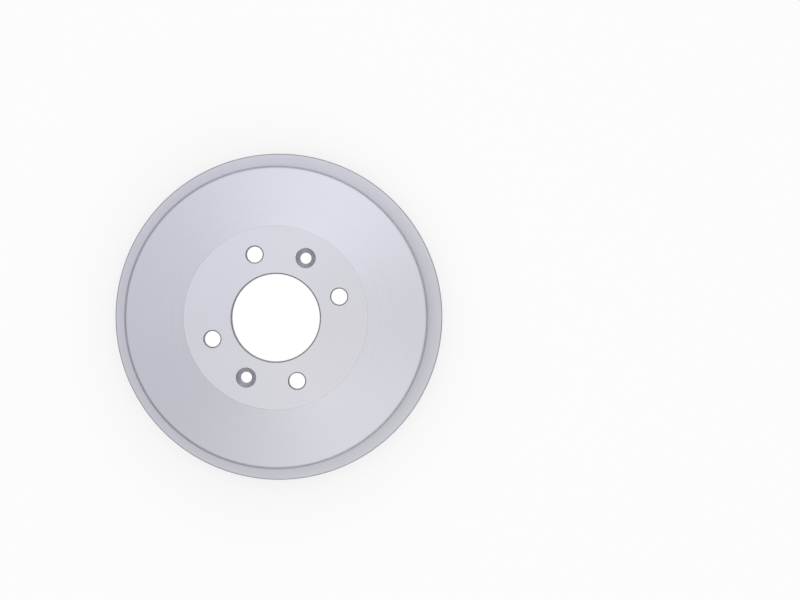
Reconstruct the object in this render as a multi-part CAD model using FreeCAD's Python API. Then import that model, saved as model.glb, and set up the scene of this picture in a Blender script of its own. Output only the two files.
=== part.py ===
import FreeCAD, Part
import math
import os

# Brake drum: one iron casting, turned all over and drilled.
# Sizes are in millimetres. The open rim stands on z = 0, the axis is +Z and the
# face that the wheel bolts against looks up.

# Height over all, open rim to wheel face
drum_height = 67.5

# Drum wall
friction_diameter = 228.6
body_wall = 9.9
corner_radius = 3.5

# Wheel face, a flat pad that stands a little proud of the sloping web
wheel_pad_diameter = 148.6
pad_step = 0.3
web_thickness = 6.5
web_slope_deg = 8.8

# Pilot bore that centres the drum on its hub
pilot_diameter = 71.0
pilot_bevel = 1.0

# Wheel bolt holes
bolt_circle_diameter = 108.0
bolt_hole_count = 4
bolt_hole_diameter = 13.0
bolt_hole_bevel = 0.9

# Countersunk holes for the screws that hold the drum to its hub, on the bolt circle
screw_hole_count = 2
screw_hole_diameter = 9.0
screw_head_diameter = 16.4

# Seat on the inside that lies against the hub
hub_seat_diameter = 140.0
hub_seat_step = 0.5

# Stiffening flange round the wall
flange_reach = 13.3
flange_thickness = 6.3
flange_edge_bevel = 0.7
flange_root_radius = 1.5

# Narrow ledge that the turning tool leaves on the wall beside the flange
ledge_step = 0.25
ledge_width = 3.6

# Rim between the flange and the open end
rim_length = 19.2
rim_wall = 11.8
rim_root_bevel = 0.6
rim_end_radius = 2.5

# Friction surface: lead-in at the open end, relief beside the web
lead_in_bevel = 1.5
relief_depth = 0.8
relief_length = 8.0
inner_corner_radius = 5.0

# How far a cutter runs out past the metal
cutter_overrun = 1.0

# Longest share of a straight side that one worked corner may take up
corner_share = 0.48

ORIGIN = FreeCAD.Vector(0, 0, 0)
UP = FreeCAD.Vector(0, 0, 1)

# Radii and levels that follow from the sizes above
friction_radius = friction_diameter / 2
body_radius = friction_radius + body_wall
flange_radius = body_radius + flange_reach
rim_radius = friction_radius + rim_wall
ledge_radius = body_radius + ledge_step
relief_radius = friction_radius + relief_depth
pad_radius = wheel_pad_diameter / 2
pad_foot_radius = pad_radius + pad_step
pilot_radius = pilot_diameter / 2
hub_seat_radius = hub_seat_diameter / 2
hub_seat_foot_radius = hub_seat_radius + hub_seat_step
bolt_circle_radius = bolt_circle_diameter / 2

flange_back = rim_length
flange_front = flange_back + flange_thickness
ledge_top = flange_front + ledge_width
pad_foot = drum_height - pad_step
hub_seat = drum_height - web_thickness
hub_seat_foot = hub_seat + hub_seat_step

slope = math.tan(math.radians(web_slope_deg))
outer_corner = pad_foot - (body_radius - pad_foot_radius) * slope
inner_corner = hub_seat_foot - (relief_radius - hub_seat_foot_radius) * slope
friction_top = inner_corner - relief_length


def section_point(radius, height):
    """A point of the section, which lies in the XZ plane."""
    return FreeCAD.Vector(radius, 0, height)


def corner_edges(before, corner, after, form, size):
    """Start and end of one corner of an outline, and the edges that join them.

    A sharp corner is left as it is, a bevel is one flat and a round is a tangent arc.
    A soft corner is a round of that radius worked as two equal flats.
    """
    to_before = before - corner
    to_after = after - corner
    longest = corner_share * min(to_before.Length, to_after.Length)
    to_before.normalize()
    to_after.normalize()
    half_angle = to_before.getAngle(to_after) / 2
    if form == "sharp":
        return corner, corner, []
    reach = size if form == "bevel" else size / math.tan(half_angle)
    reach = min(reach, longest)
    start = corner + to_before * reach
    end = corner + to_after * reach
    if form == "bevel":
        return start, end, [Part.LineSegment(start, end).toShape()]
    radius = reach * math.tan(half_angle)
    inward = to_before + to_after
    inward.normalize()
    middle = corner + inward * (radius / math.sin(half_angle) - radius)
    if form == "soft":
        flats = [Part.LineSegment(start, middle), Part.LineSegment(middle, end)]
        return start, end, [flat.toShape() for flat in flats]
    return start, end, [Part.Arc(start, middle, end).toShape()]


def outline(corners):
    """Closed wire through corners, each of them a point, a form and a size."""
    pieces = []
    count = len(corners)
    for index in range(count):
        point, form, size = corners[index]
        before = corners[index - 1][0]
        after = corners[(index + 1) % count][0]
        pieces.append(corner_edges(before, point, after, form, size))
    edges = []
    for index in range(count):
        start, end, blend = pieces[index]
        next_start = pieces[(index + 1) % count][0]
        edges.extend(blend)
        edges.append(Part.LineSegment(end, next_start).toShape())
    return Part.Wire(edges)


def turned(corners):
    """Solid of revolution about +Z."""
    return Part.Face(outline(corners)).revolve(ORIGIN, UP, 360)


def drum_blank():
    """The casting as it leaves the lathe, before drilling."""
    corners = [
        (section_point(pilot_radius, drum_height), "bevel", pilot_bevel),
        (section_point(pad_radius, drum_height), "sharp", 0),
        (section_point(pad_foot_radius, pad_foot), "sharp", 0),
        (section_point(body_radius, outer_corner), "round", corner_radius),
        (section_point(body_radius, ledge_top), "sharp", 0),
        (section_point(ledge_radius, ledge_top - ledge_step), "sharp", 0),
        (section_point(ledge_radius, flange_front), "soft", flange_root_radius),
        (section_point(flange_radius, flange_front), "bevel", flange_edge_bevel),
        (section_point(flange_radius, flange_back), "bevel", flange_edge_bevel),
        (section_point(rim_radius, flange_back), "bevel", rim_root_bevel),
        (section_point(rim_radius, 0), "soft", rim_end_radius),
        (section_point(friction_radius, 0), "bevel", lead_in_bevel),
        (section_point(friction_radius, friction_top), "sharp", 0),
        (section_point(relief_radius, friction_top + relief_depth), "sharp", 0),
        (section_point(relief_radius, inner_corner), "soft", inner_corner_radius),
        (section_point(hub_seat_foot_radius, hub_seat_foot), "sharp", 0),
        (section_point(hub_seat_radius, hub_seat), "sharp", 0),
        (section_point(pilot_radius, hub_seat), "bevel", pilot_bevel),
    ]
    return turned(corners)


def hole_cutter(hole_diameter, front_mouth_diameter, back_mouth_diameter):
    """Cutter for a hole through the web, opened out at 45 degrees at each face."""
    hole_radius = hole_diameter / 2
    front_depth = front_mouth_diameter / 2 - hole_radius
    back_depth = back_mouth_diameter / 2 - hole_radius
    front = drum_height + cutter_overrun
    back = hub_seat - cutter_overrun
    corners = [
        (section_point(0, front), "sharp", 0),
        (section_point(hole_radius + front_depth + cutter_overrun, front), "sharp", 0),
        (section_point(hole_radius, drum_height - front_depth), "sharp", 0),
        (section_point(hole_radius, hub_seat + back_depth), "sharp", 0),
        (section_point(hole_radius + back_depth + cutter_overrun, back), "sharp", 0),
        (section_point(0, back), "sharp", 0),
    ]
    return turned(corners)


def on_bolt_circle(cutter, count, first_angle):
    """Copies of a cutter at equal steps round the bolt circle."""
    copies = []
    for index in range(count):
        copy = cutter.copy()
        copy.translate(FreeCAD.Vector(bolt_circle_radius, 0, 0))
        copy.rotate(ORIGIN, UP, first_angle + index * 360 / count)
        copies.append(copy)
    return copies


def bolt_hole_cutters():
    """Plain through holes, the first on +X."""
    mouth_diameter = bolt_hole_diameter + 2 * bolt_hole_bevel
    cutter = hole_cutter(bolt_hole_diameter, mouth_diameter, mouth_diameter)
    return on_bolt_circle(cutter, bolt_hole_count, 0)


def screw_hole_cutters():
    """Countersunk holes, the first midway between two bolt holes."""
    cutter = hole_cutter(screw_hole_diameter, screw_head_diameter, screw_hole_diameter)
    return on_bolt_circle(cutter, screw_hole_count, 180 / bolt_hole_count)


brake_drum = drum_blank().cut(bolt_hole_cutters() + screw_hole_cutters())
brake_drum = brake_drum.Solids[0]
brake_drum.exportStep("parts/brake_drum.step")
print("brake_drum volume, cubic millimetres:", round(brake_drum.Volume))
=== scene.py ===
import math

import bmesh
import bpy
from mathutils import Matrix, Vector


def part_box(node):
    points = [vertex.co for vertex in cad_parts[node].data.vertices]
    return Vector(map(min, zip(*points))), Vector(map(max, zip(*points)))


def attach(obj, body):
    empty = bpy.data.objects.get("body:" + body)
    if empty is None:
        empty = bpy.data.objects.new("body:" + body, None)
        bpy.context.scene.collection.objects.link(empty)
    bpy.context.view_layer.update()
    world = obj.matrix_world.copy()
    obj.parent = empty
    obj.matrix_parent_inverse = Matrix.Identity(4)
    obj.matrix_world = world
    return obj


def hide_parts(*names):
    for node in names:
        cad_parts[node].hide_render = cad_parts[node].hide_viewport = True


# A coated cast-iron brake drum, standing on its open rim with the wheel face up.
# Lengths are in metres. MM turns millimetres into them.
MM = 0.001

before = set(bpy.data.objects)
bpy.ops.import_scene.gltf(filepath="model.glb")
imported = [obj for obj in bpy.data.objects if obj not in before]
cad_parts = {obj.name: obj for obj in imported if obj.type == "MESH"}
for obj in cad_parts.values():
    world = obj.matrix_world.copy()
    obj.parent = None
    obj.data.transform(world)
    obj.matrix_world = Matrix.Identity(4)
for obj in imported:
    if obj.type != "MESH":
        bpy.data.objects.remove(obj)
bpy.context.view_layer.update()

NODE = "brake_drum"
BODY = "root"

# Outer size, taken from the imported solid
drum_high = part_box(NODE)[1]
drum_height = drum_high.z
flange_radius = drum_high.x

# Drum wall, flange and rim
body_radius = 124.2 * MM
rim_radius = 126.1 * MM
flange_back = 19.2 * MM
flange_front = 25.5 * MM
flange_edge_bevel = 0.7 * MM
ledge_radius = 124.45 * MM
ledge_top = 29.1 * MM
rim_root_bevel = 0.6 * MM

# Wheel pad, web and hub seat
pad_radius = 74.3 * MM
pad_step = 0.3 * MM
pad_line_depth = 0.1 * MM
web_slope = math.tan(math.radians(8.8))
web_thickness = 6.5 * MM
hub_seat = drum_height - web_thickness
hub_seat_radius = 70.0 * MM
hub_seat_step = 0.5 * MM

# Friction surface
friction_radius = 114.3 * MM
lead_in_bevel = 1.5 * MM
relief_depth = 0.8 * MM
relief_length = 8.0 * MM

# Bore and holes
bore_radius = 35.5 * MM
bore_bevel = 1.0 * MM
bolt_circle_radius = 54.0 * MM
bolt_hole_radius = 6.5 * MM
bolt_hole_bevel = 0.9 * MM
bolt_hole_angles = [0, 90, 180, 270]
screw_hole_radius = 4.5 * MM
screw_head_radius = 8.2 * MM
screw_hole_angles = [45, 225]

# Rounds of the section, from the cast corners down to a barely broken edge
outer_corner_round = 3.5 * MM
inner_corner_round = 5.0 * MM
rim_end_round = 2.5 * MM
flange_root_round = 1.5 * MM
tool_round = 0.4 * MM
edge_round = 0.12 * MM

# Facets round the axis, round one hole, and per right angle of a rounded corner
DRUM_SEGMENTS = 288
HOLE_SEGMENTS = 72
ROUND_STEPS = 10

# How far the turned strips run past their last edges onto the flat faces
flat_margin = 0.6 * MM


def corner_points(before, corner, after, radius):
    """Points of the tangent arc that rounds one corner of a section."""
    to_before = (before - corner).normalized()
    to_after = (after - corner).normalized()
    half_angle = to_before.angle(to_after) / 2
    reach = radius / math.tan(half_angle)
    centre = corner + (to_before + to_after).normalized() * (radius / math.sin(half_angle))
    start = corner + to_before * reach - centre
    end = corner + to_after * reach - centre
    turn = math.pi - 2 * half_angle
    steps = max(2, round(ROUND_STEPS * turn / (math.pi / 2)))
    return [centre + start.slerp(end, step / steps) * radius for step in range(steps + 1)]


def section(corners):
    """Section line through corners of (radius, height, round), open at its two ends."""
    places = [Vector((radius, height)) for radius, height, _ in corners]
    points = [places[0]]
    for index in range(1, len(corners) - 1):
        size = corners[index][2]
        points.extend(corner_points(places[index - 1], places[index], places[index + 1], size))
    points.append(places[-1])
    return points


def turn_section(mesh, points, segments, centre_x, centre_y):
    """Turns a section line about a vertical axis. Returns its first and last ring."""
    rings = []
    for radius, height in points:
        ring = []
        for index in range(segments):
            angle = math.tau * index / segments
            x = centre_x + radius * math.cos(angle)
            y = centre_y + radius * math.sin(angle)
            ring.append(mesh.verts.new((x, y, height)))
        rings.append(ring)
    for upper, lower in zip(rings, rings[1:]):
        for index in range(segments):
            following = (index + 1) % segments
            mesh.faces.new((upper[index], upper[following], lower[following], lower[index]))
    return rings[0], rings[-1]


def ring_edges(mesh, ring):
    """The closed loop of edges round a ring of vertices."""
    return [mesh.edges.get((ring[index - 1], ring[index])) for index in range(len(ring))]


def wall_corners():
    """The outside and the friction side, from the wheel pad's edge to the hub seat's edge.

    The step at the pad's edge is drawn as a fine line, and the web runs straight from there.
    """
    pad_foot = drum_height - pad_step
    pad_foot_radius = pad_radius + pad_step
    outer_corner = pad_foot - (body_radius - pad_foot_radius) * web_slope
    seat_foot = hub_seat + hub_seat_step
    seat_foot_radius = hub_seat_radius + hub_seat_step
    relief_radius = friction_radius + relief_depth
    inner_corner = seat_foot - (relief_radius - seat_foot_radius) * web_slope
    friction_top = inner_corner - relief_length
    ledge_step = ledge_radius - body_radius
    bevel = flange_edge_bevel
    return [
        (pad_radius - flat_margin, drum_height, 0),
        (pad_radius, drum_height, edge_round),
        (pad_radius + pad_line_depth, drum_height - pad_line_depth, edge_round),
        (body_radius, outer_corner, outer_corner_round),
        (body_radius, ledge_top, edge_round),
        (ledge_radius, ledge_top - ledge_step, edge_round),
        (ledge_radius, flange_front, flange_root_round),
        (flange_radius - bevel, flange_front, edge_round),
        (flange_radius, flange_front - bevel, edge_round),
        (flange_radius, flange_back + bevel, edge_round),
        (flange_radius - bevel, flange_back, edge_round),
        (rim_radius + rim_root_bevel, flange_back, tool_round),
        (rim_radius, flange_back - rim_root_bevel, tool_round),
        (rim_radius, 0, rim_end_round),
        (friction_radius + lead_in_bevel, 0, edge_round),
        (friction_radius, lead_in_bevel, edge_round),
        (friction_radius, friction_top, edge_round),
        (relief_radius, friction_top + relief_depth, edge_round),
        (relief_radius, inner_corner, inner_corner_round),
        (seat_foot_radius, seat_foot, edge_round),
        (hub_seat_radius, hub_seat, edge_round),
        (hub_seat_radius - flat_margin, hub_seat, 0),
    ]


def hole_corners(radius, front_bevel, back_bevel):
    """A hole's wall, from the wheel pad down to the hub seat. A back bevel of 0 means none."""
    corners = [
        (radius + front_bevel + flat_margin, drum_height, 0),
        (radius + front_bevel, drum_height, edge_round),
        (radius, drum_height - front_bevel, edge_round),
    ]
    if back_bevel > 0:
        corners.append((radius, hub_seat + back_bevel, edge_round))
    corners.append((radius + back_bevel, hub_seat, edge_round))
    corners.append((radius + back_bevel + flat_margin, hub_seat, 0))
    return corners


def turned_strips():
    """Every turned strip as its section line, its facets and the centre it turns about."""
    wall = section(wall_corners())
    bore = section(hole_corners(bore_radius, bore_bevel, bore_bevel))
    bolt_hole = section(hole_corners(bolt_hole_radius, bolt_hole_bevel, bolt_hole_bevel))
    screw_hole = section(hole_corners(screw_hole_radius, screw_head_radius - screw_hole_radius, 0))
    strips = [(wall, DRUM_SEGMENTS, 0.0, 0.0), (bore, DRUM_SEGMENTS, 0.0, 0.0)]
    for points, angles in ((bolt_hole, bolt_hole_angles), (screw_hole, screw_hole_angles)):
        for degrees in angles:
            angle = math.radians(degrees)
            x = bolt_circle_radius * math.cos(angle)
            y = bolt_circle_radius * math.sin(angle)
            strips.append((points, HOLE_SEGMENTS, x, y))
    return strips


def drum_mesh():
    """The whole casting as one closed mesh: turned strips and the two flat faces between them."""
    mesh = bmesh.new()
    pad_edges = []
    seat_edges = []
    for strip in turned_strips():
        first, last = turn_section(mesh, *strip)
        pad_edges.extend(ring_edges(mesh, first))
        seat_edges.extend(ring_edges(mesh, last))
    for edges in (pad_edges, seat_edges):
        bmesh.ops.triangle_fill(mesh, edges=edges, use_beauty=True, use_dissolve=False)
    bmesh.ops.recalc_face_normals(mesh, faces=mesh.faces)
    for face in mesh.faces:
        face.smooth = True
    data = bpy.data.meshes.new("drum_casting")
    mesh.to_mesh(data)
    mesh.free()
    return data


def add_drum(material):
    """The casting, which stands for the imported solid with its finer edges."""
    drum = bpy.data.objects.new("drum_casting", drum_mesh())
    bpy.context.scene.collection.objects.link(drum)
    drum.data.materials.append(material)
    flats = drum.modifiers.new("flat faces stay flat", "WEIGHTED_NORMAL")
    flats.mode = "FACE_AREA"
    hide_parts(NODE)
    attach(drum, BODY)


class Nodes:
    """Short calls that add and join shader nodes."""

    def __init__(self, tree):
        self.tree = tree
        tree.nodes.clear()

    def add(self, kind, settings=None, inputs=None):
        """Adds a node. Each input is a value, or an output to link."""
        node = self.tree.nodes.new(kind)
        for name, value in (settings or {}).items():
            setattr(node, name, value)
        for key, value in (inputs or {}).items():
            if isinstance(value, bpy.types.NodeSocket):
                self.tree.links.new(value, node.inputs[key])
            else:
                node.inputs[key].default_value = value
        return node

    def math(self, operation, first, second=0.0):
        """The result of one sum."""
        node = self.add("ShaderNodeMath", {"operation": operation}, {0: first, 1: second})
        return node.outputs[0]

    def vector_math(self, operation, first, second=(0, 0, 0)):
        """The result of one sum of vectors, a number where the sum makes one."""
        node = self.add("ShaderNodeVectorMath", {"operation": operation}, {0: first, 1: second})
        return node.outputs["Value" if operation in ("LENGTH", "DOT_PRODUCT") else "Vector"]

    def spread(self, value, low, high):
        """Maps 0 to 1 onto low to high."""
        inputs = {"Value": value, "To Min": low, "To Max": high}
        return self.add("ShaderNodeMapRange", None, inputs).outputs["Result"]

    def swing(self, value, depth):
        """Maps 0 to 1 onto minus depth to plus depth."""
        return self.spread(value, -depth, depth)

    def noise(self, dimensions, place, scale, detail, roughness):
        """Noise from 0 to 1, along a line for 1D and through space for 3D."""
        key = "W" if dimensions == "1D" else "Vector"
        inputs = {key: place, "Scale": scale, "Detail": detail, "Roughness": roughness}
        return self.add("ShaderNodeTexNoise", {"noise_dimensions": dimensions}, inputs).outputs[0]


# Patterns in the coat, each as the scale, detail and roughness of its noise. The turning marks
# and the broader bands lie across the section, per millimetre. The flakes and the cloud fill
# space, per metre.
mark_noise = (3.2, 3.0, 0.6)
band_noise = (0.35, 2.0, 0.5)
flake_noise = (2600.0, 2.0, 0.6)
cloud_noise = (22.0, 3.0, 0.5)

# How strongly they show: the marks on the faces and on the walls, and the rest everywhere
face_mark_depth = 0.07
wall_mark_depth = 0.8
flake_depth = 0.12
band_depth = 0.04
cloud_depth = 0.03

# The coat's colours from its darkest tone to its lightest, and the tone of the middle one
dark_coat = (0.41, 0.41, 0.445, 1)
middle_coat = (0.56, 0.56, 0.623, 1)
light_coat = (0.68, 0.68, 0.74, 1)
middle_tone = 0.5

# Painted shade in the corner beside the flange, where the wall shades the flange's face: how far up
# the wall that goes, how much darker it is, and the share by which that varies with the cloud
corner_shade_reach = 14.0 * MM
corner_shade_depth = 0.13
corner_shade_share = 0.5

# Painted shade, a dark reflection line on the flange's upper edge: how far in from the edge, how much
# darker
edge_shade_reach = 0.3 * MM
edge_shade_depth = 0.45

# Painted light colour: the coat is painted a little bluer towards one side of the drum, standing in
# for bluer light reflected from that side, given in degrees from +X; it is also a little greyer on the
# wheel pad
painted_bluer_light_side = math.radians(121.5)
painted_side_blue = 0.022
pad_blue = -0.023

# Sheen: roughness from the marks and the flakes, the tint of what is seen at a grazing angle, and
# how far the highlight is drawn out and which way, in turns from along the marks
mark_roughness = (0.37, 0.43)
flake_roughness = 0.03
grazing_tint = (0.3, 0.3, 0.32, 1)
highlight_stretch = 0.4
highlight_turn = 0.25

# Grain: its height, its strength, and the shares of the marks and the flakes in it
grain_height = 0.02 * MM
grain_strength = 0.25
mark_grain = 0.6
flake_grain = 0.4


def section_place(nodes, point):
    """How far a point lies from the axis, and its height."""
    radius = nodes.vector_math("LENGTH", nodes.vector_math("MULTIPLY", point, (1, 1, 0)))
    return radius, nodes.add("ShaderNodeSeparateXYZ", None, {0: point}).outputs["Z"]


def corner_shade_mask(nodes, radius, height):
    """Mask of the painted shade beside the flange: 1 on the flange's face, fading out up the wall, 0
    elsewhere.
    """
    fading = nodes.add("ShaderNodeMapRange", {"interpolation_type": "SMOOTHSTEP"}, {
        "Value": height, "From Min": flange_front, "From Max": flange_front + corner_shade_reach,
        "To Min": 1.0, "To Max": 0.0}).outputs["Result"]
    above_flange = nodes.math("GREATER_THAN", height, flange_front - flange_edge_bevel)
    outside = nodes.math("GREATER_THAN", radius, (friction_radius + body_radius) / 2)
    return nodes.math("MULTIPLY", fading, nodes.math("MULTIPLY", above_flange, outside))


def edge_shade_mask(nodes, radius, height):
    """Mask of the painted dark edge line: 1 on the bevel of the flange's upper edge, fading out beside
    it, 0 elsewhere.
    """
    bevel_place = flange_radius + flange_front - flange_edge_bevel
    nearness = nodes.add("ShaderNodeMapRange", None, {
        "Value": nodes.math("ADD", radius, height),
        "From Min": bevel_place - edge_shade_reach, "From Max": bevel_place}).outputs["Result"]
    at_edge = nodes.math("GREATER_THAN", radius, flange_radius - 2 * flange_edge_bevel)
    return nodes.math("MULTIPLY", nearness, at_edge)


def painted_shade(nodes, radius, height, cloud):
    """How much darker the coat is painted: shade in the corner beside the flange and a dark line on
    its edge.
    """
    least = corner_shade_depth * (1 - corner_shade_share)
    most = corner_shade_depth * (1 + corner_shade_share)
    corner_shade = nodes.math("MULTIPLY", corner_shade_mask(nodes, radius, height), nodes.spread(cloud, least, most))
    edge_shade = nodes.math("MULTIPLY", edge_shade_mask(nodes, radius, height), edge_shade_depth)
    return nodes.math("ADD", corner_shade, edge_shade)


def blue_share_with_painted_light(nodes, point, radius):
    """What the coat's blue is multiplied by: painted bluer light towards one side, and a greyer wheel
    pad.
    """
    toward = (math.cos(painted_bluer_light_side), math.sin(painted_bluer_light_side), 0)
    bearing = nodes.math("DIVIDE", nodes.vector_math("DOT_PRODUCT", point, toward), radius)
    on_pad = nodes.math("LESS_THAN", radius, pad_radius)
    change = nodes.math("ADD", nodes.math("MULTIPLY", bearing, painted_side_blue),
                        nodes.math("MULTIPLY", on_pad, pad_blue))
    return nodes.math("ADD", change, 1.0)


def coat_colour(nodes, tone, blue):
    """The coat's colour at a tone, with its blue multiplied by a share."""
    ramp = nodes.add("ShaderNodeValToRGB", None, {0: tone})
    ramp.color_ramp.elements[0].color = dark_coat
    ramp.color_ramp.elements[1].color = light_coat
    ramp.color_ramp.elements.new(middle_tone).color = middle_coat
    shares = nodes.add("ShaderNodeCombineXYZ", None, {0: 1.0, 1: 1.0, 2: blue})
    return nodes.vector_math("MULTIPLY", ramp.outputs[0], shares.outputs[0])


def coat_grain(nodes, marks, flakes):
    """The coat's fine relief, as the normal it gives."""
    relief = nodes.math("ADD", nodes.math("MULTIPLY", marks, mark_grain),
                        nodes.math("MULTIPLY", flakes, flake_grain))
    inputs = {"Strength": grain_strength, "Distance": grain_height, "Height": relief}
    return nodes.add("ShaderNodeBump", None, inputs).outputs[0]


def coated_iron():
    """Satin silver-grey zinc-flake coating over fine turning marks."""
    material = bpy.data.materials.new("coated_iron")
    material.use_nodes = True
    nodes = Nodes(material.node_tree)
    places = nodes.add("ShaderNodeTexCoord").outputs
    point = places["Object"]
    radius, height = section_place(nodes, point)
    across = nodes.math("DIVIDE", nodes.math("ADD", radius, height), MM)
    facing = nodes.add("ShaderNodeSeparateXYZ", None, {0: places["Normal"]}).outputs["Z"]
    upright = nodes.math("SUBTRACT", 1.0, nodes.math("ABSOLUTE", facing))

    marks = nodes.noise("1D", across, *mark_noise)
    bands = nodes.noise("1D", across, *band_noise)
    flakes = nodes.noise("3D", point, *flake_noise)
    cloud = nodes.noise("3D", point, *cloud_noise)

    mark_depth = nodes.spread(upright, face_mark_depth, wall_mark_depth)
    shade = nodes.math("MULTIPLY", nodes.swing(marks, 1.0), mark_depth)
    for pattern, depth in ((flakes, flake_depth), (bands, band_depth), (cloud, cloud_depth)):
        shade = nodes.math("ADD", shade, nodes.swing(pattern, depth))
    # The tone loses the painted shade beside the flange and on the flange's upper edge.
    tone = nodes.math("SUBTRACT", nodes.math("ADD", shade, middle_tone),
                      painted_shade(nodes, radius, height, cloud))
    roughness = nodes.math("ADD", nodes.spread(marks, *mark_roughness),
                           nodes.swing(flakes, flake_roughness))
    tangent = nodes.add("ShaderNodeTangent", {"direction_type": "RADIAL", "axis": "Z"})
    # The base colour carries painted bluer light towards one side of the drum.
    shader = nodes.add("ShaderNodeBsdfPrincipled", None, {
        "Base Color": coat_colour(nodes, tone, blue_share_with_painted_light(nodes, point, radius)),
        "Metallic": 1.0,
        "Specular Tint": grazing_tint,
        "Roughness": roughness,
        "Anisotropic": highlight_stretch,
        "Anisotropic Rotation": highlight_turn,
        "Normal": coat_grain(nodes, marks, flakes),
        "Tangent": tangent.outputs[0],
    })
    nodes.add("ShaderNodeOutputMaterial", None, {"Surface": shader.outputs[0]})
    return material


# Studio. The floor lies just under the rim, so that the two faces don't coincide. It is white
# paper that lights itself, but for a share of plain paper, which holds the drum's shadow.
floor_size = 30.0
floor_gap = 0.05 * MM
floor_shadow_share = 0.30
paper_colour = (0.95, 0.95, 0.95, 1)
white = (1, 1, 1, 1)

# Sky: its levels above and below a soft step, the heights in degrees between which it steps up,
# and the share that all of it loses from overhead down to the horizon
sky_level = 1.34
low_sky_level = 0.28
sky_rises_from = 15
sky_rises_to = 35
horizon_loss = 0.60

# Waves of brightness round the sky: how many crests, strength, and the first crest's direction
# in the picture, in degrees
sky_waves = [(1, 0.31, 40), (2, 0.30, 95), (3, 0.20, 62)]


def floor_material():
    """White floor that keeps a soft share of the drum's shadow, and is plain white inside the drum.

    It can be looked through from below.
    """
    material = bpy.data.materials.new("studio_floor")
    material.use_nodes = True
    nodes = Nodes(material.node_tree)
    path = nodes.add("ShaderNodeLightPath").outputs
    seen = nodes.math("MAXIMUM", path["Is Camera Ray"], path["Is Glossy Ray"])
    seen = nodes.math("MAXIMUM", seen, path["Is Transmission Ray"])
    radius = nodes.vector_math("LENGTH", nodes.add("ShaderNodeTexCoord").outputs["Object"])
    inside = nodes.math("LESS_THAN", radius, friction_radius)
    outside_share = nodes.math("MAXIMUM", inside, 1 - floor_shadow_share)
    share = nodes.math("MULTIPLY", seen, outside_share)
    paper = nodes.add("ShaderNodeBsdfDiffuse", None, {"Color": paper_colour})
    glow = nodes.add("ShaderNodeEmission", None, {"Color": white, "Strength": 1.0})
    lit = nodes.add("ShaderNodeMixShader", None, {0: share, 1: paper.outputs[0], 2: glow.outputs[0]})
    behind = nodes.add("ShaderNodeNewGeometry").outputs["Backfacing"]
    clear = nodes.add("ShaderNodeBsdfTransparent")
    floor = nodes.add("ShaderNodeMixShader", None, {0: behind, 1: lit.outputs[0], 2: clear.outputs[0]})
    nodes.add("ShaderNodeOutputMaterial", None, {"Surface": floor.outputs[0]})
    return material


def add_floor():
    """A plain pale floor under the rim."""
    half = floor_size / 2
    level = -floor_gap
    data = bpy.data.meshes.new("studio_floor")
    corners = [(-half, -half, level), (half, -half, level), (half, half, level), (-half, half, level)]
    data.from_pydata(corners, [], [(0, 1, 2, 3)])
    data.materials.append(floor_material())
    floor = bpy.data.objects.new("studio_floor", data)
    bpy.context.scene.collection.objects.link(floor)


# Camera: the photograph looks down the axis from a little to the right and above.
# Directions in the picture are given in a frame turned with it about the drum's axis.
picture_turn = math.radians(18.5)
camera_right = 73.4 * MM
camera_up = 19.5 * MM
camera_above_pad = 1.0
aim_right = 100.5 * MM
aim_up = 14.4 * MM
FOCAL_PIXELS = 1233.5
IMAGE_WIDTH = 800
SENSOR_WIDTH = 36.0


def picture_place(right, up, height):
    """A point given by how far right and up in the picture it lies from the axis."""
    x = right * math.cos(picture_turn) + up * math.sin(picture_turn)
    y = up * math.cos(picture_turn) - right * math.sin(picture_turn)
    return Vector((x, y, height))


def add_camera():
    """The photograph's viewpoint, with the picture's up direction held upright."""
    data = bpy.data.cameras.new("camera")
    data.sensor_width = SENSOR_WIDTH
    data.lens = FOCAL_PIXELS / IMAGE_WIDTH * SENSOR_WIDTH
    camera = bpy.data.objects.new("camera", data)
    bpy.context.scene.collection.objects.link(camera)
    place = picture_place(camera_right, camera_up, drum_height + camera_above_pad)
    target = picture_place(aim_right, aim_up, drum_height)
    back = (place - target).normalized()
    picture_up = picture_place(0, 1, 0)
    right = picture_up.cross(back).normalized()
    up = back.cross(right)
    camera.rotation_euler = Matrix((right, up, back)).transposed().to_euler()
    camera.location = place
    bpy.context.scene.camera = camera


def add_world():
    """Soft studio sky, dim at the horizon, with a few broad brighter sides."""
    world = bpy.data.worlds.new("studio")
    bpy.context.scene.world = world
    world.use_nodes = True
    nodes = Nodes(world.node_tree)
    ray = nodes.add("ShaderNodeTexCoord").outputs["Generated"]

    # How far the ray points right and up in the picture, and overhead
    right = nodes.vector_math("DOT_PRODUCT", ray, picture_place(1, 0, 0))
    up = nodes.vector_math("DOT_PRODUCT", ray, picture_place(0, 1, 0))
    height = nodes.vector_math("DOT_PRODUCT", ray, (0, 0, 1))
    bearing = nodes.math("ARCTAN2", up, right)
    lying = nodes.math("SQRT", nodes.math("ADD", nodes.math("POWER", right, 2.0),
                                          nodes.math("POWER", up, 2.0)))
    shape = 0.0
    for crests, strength, direction in sky_waves:
        turn = nodes.math("MULTIPLY", nodes.math("SUBTRACT", bearing, math.radians(direction)), crests)
        wave = nodes.math("MULTIPLY", nodes.math("COSINE", turn), strength)
        shape = nodes.math("ADD", shape, wave)
    shape = nodes.math("ADD", nodes.math("MULTIPLY", shape, lying), 1.0)
    rise = nodes.add("ShaderNodeMapRange", {"interpolation_type": "SMOOTHSTEP"}, {
        "Value": height,
        "From Min": math.sin(math.radians(sky_rises_from)),
        "From Max": math.sin(math.radians(sky_rises_to)),
        "To Min": low_sky_level, "To Max": sky_level}).outputs["Result"]
    overhead = nodes.spread(height, 1 - horizon_loss, 1.0)
    level = nodes.math("MULTIPLY", nodes.math("MULTIPLY", rise, overhead), shape)
    sky = nodes.add("ShaderNodeBackground", None, {"Color": white, "Strength": level})
    nodes.add("ShaderNodeOutputWorld", None, {"Surface": sky.outputs[0]})


bpy.context.scene.view_settings.view_transform = "Standard"
add_drum(coated_iron())
add_floor()
add_world()
add_camera()
